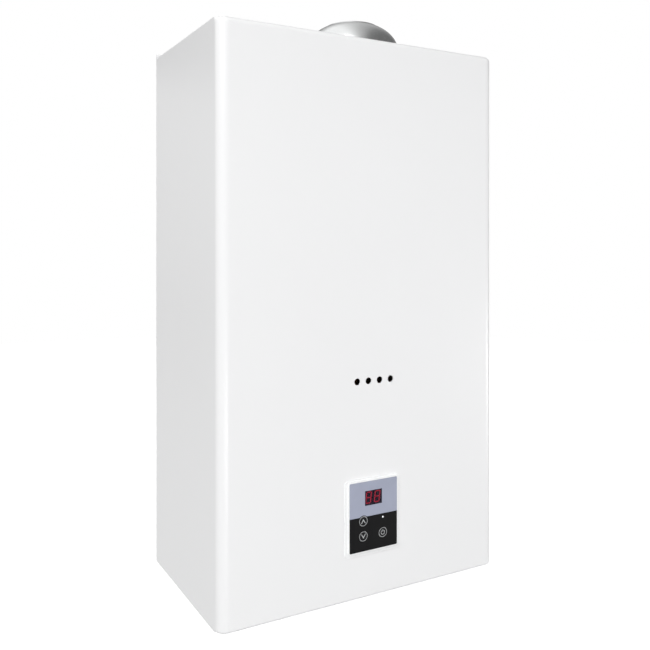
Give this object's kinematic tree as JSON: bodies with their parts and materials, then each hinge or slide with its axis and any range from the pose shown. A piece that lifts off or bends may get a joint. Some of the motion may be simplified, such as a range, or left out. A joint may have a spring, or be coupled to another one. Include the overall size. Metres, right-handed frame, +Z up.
{
  "type": "tankless gas water heater",
  "caption": "Wall-hung tankless gas water heater: white casing with rounded upright edges, sight holes, key and display panel, and a round flue collar on top.",
  "frame": {"origin": "middle of the four wall screw holes, on the back plane that touches the wall", "axes": "+Z up, +Y towards the wall, +X to the right as seen from the front"},
  "size_m": [0.34, 0.203, 0.6603],
  "materials": {
    "white_enamel": "smooth gloss white stove enamel",
    "white_plastic": "glossy white moulding",
    "overlay_print": "printed film, bluish grey above and black below",
    "key_black": "printed film, black with pale grey rings and marks",
    "dark_lens": "dark tinted window",
    "red_light": "lit red segments",
    "lamp_light": "lit white lens",
    "dark_plastic": "fine matt moulding",
    "board_green": "circuit board lacquer",
    "galvanised": "galvanised sheet with faint spangle",
    "zinc_screw": "zinc-plated",
    "flue_metal": "spun, satin bright",
    "burner_steel": "stainless sheet, dull",
    "copper": "tinned copper, dull",
    "brass": "turned brass",
    "cast_aluminium": "die-cast, matt",
    "motor_steel": "grey motor can",
    "laminated_core": "stacked sheet",
    "silicone": "soft matt silicone",
    "red_silicone": "silicone insulation",
    "grey_cable": "soft cable sheath",
    "ceramic_white": "glazed ceramic rod holder",
    "mica": "mica sheet",
    "coil_blue": "moulded coil jacket",
    "sensor_green": "glass-filled moulding",
    "rotor_white": "white moulding"
  },
  "bodies": {
    "chassis": {"back_plate": "white_enamel", "top_panel": "white_enamel", "bottom_panel": "white_enamel", "casing_screws": "zinc_screw", "stack_brackets": "galvanised", "flue_collar": "flue_metal", "collar_gasket": "silicone", "fan_volute": "galvanised", "fan_inlet_plate": "galvanised", "motor_can": "motor_steel", "motor_stator": "laminated_core", "motor_bearings": "brass", "fume_hood": "galvanised", "exchanger_shell": "copper", "exchanger_fins": "copper", "exchanger_tubes": "copper", "overheat_thermostat": "dark_plastic", "burner_frame": "burner_steel", "burner_blades": "burner_steel", "sight_window": "mica", "electrodes": "ceramic_white", "igniter_box": "dark_plastic", "ignition_lead": "red_silicone", "gas_manifold": "cast_aluminium", "gas_jets": "brass", "gas_valve": "cast_aluminium", "solenoid_coils": "coil_blue", "gas_inlet": "brass", "water_inlet": "brass", "flow_sensor": "sensor_green", "cold_pipe": "copper", "hot_pipe": "copper", "hot_outlet": "brass", "outlet_sensor": "zinc_screw", "control_box": "dark_plastic", "control_lid": "dark_plastic", "control_board": "board_green", "cable_gland": "dark_plastic", "air_pressure_switch": "dark_plastic", "pressure_hose": "silicone", "display_lead": "grey_cable"},
    "cover": {"front_cover": "white_enamel", "panel_bezel": "white_plastic", "panel_overlay": "overlay_print", "display_window": "dark_lens", "display_digits": "red_light", "display_module": "dark_plastic", "display_board": "board_green", "status_led": "lamp_light", "key_switches": "dark_plastic"},
    "up_key": {"key_up": "key_black"},
    "down_key": {"key_down": "key_black"},
    "power_key": {"key_power": "key_black"},
    "fan_rotor": {"motor_rotor": "laminated_core", "fan_shaft": "zinc_screw", "fan_impeller": "cast_aluminium"},
    "flow_turbine": {"flow_rotor": "rotor_white"},
    "drain_plug": {"drain_knob": "dark_plastic"},
    "safety_valve": {"safety_plunger": "zinc_screw"},
    "main_valve": {"main_plunger": "zinc_screw"}
  },
  "joints": [
    {"name": "cover_off", "type": "slide", "parent": "chassis", "child": "cover", "axis": [0, -1, 0], "range_m": [0, 0.25]},
    {"name": "up_key_press", "type": "slide", "parent": "cover", "child": "up_key", "axis": [0, 1, 0], "range_m": [0, 0.0005], "stiffness_N_per_m": 1500},
    {"name": "down_key_press", "type": "slide", "parent": "cover", "child": "down_key", "axis": [0, 1, 0], "range_m": [0, 0.0005], "stiffness_N_per_m": 1500},
    {"name": "power_key_press", "type": "slide", "parent": "cover", "child": "power_key", "axis": [0, 1, 0], "range_m": [0, 0.0005], "stiffness_N_per_m": 1500},
    {"name": "fan_spin", "type": "hinge", "parent": "chassis", "child": "fan_rotor", "pos_m": [-0.00404, -0.1, 0.16168], "axis": [0, -1, 0], "continuous": true},
    {"name": "flow_spin", "type": "hinge", "parent": "chassis", "child": "flow_turbine", "pos_m": [0.122, -0.038, -0.238], "axis": [0, 0, 1], "continuous": true},
    {"name": "drain_turn", "type": "hinge", "parent": "chassis", "child": "drain_plug", "pos_m": [0.09, -0.038, -0.305], "axis": [0, 0, -1], "range_deg": [0, 90]},
    {"name": "safety_valve_lift", "type": "slide", "parent": "chassis", "child": "safety_valve", "axis": [1, 0, 0], "range_m": [0, 0.0025], "stiffness_N_per_m": 400},
    {"name": "main_valve_lift", "type": "slide", "parent": "chassis", "child": "main_valve", "axis": [1, 0, 0], "range_m": [0, 0.0025], "stiffness_N_per_m": 400}
  ]
}
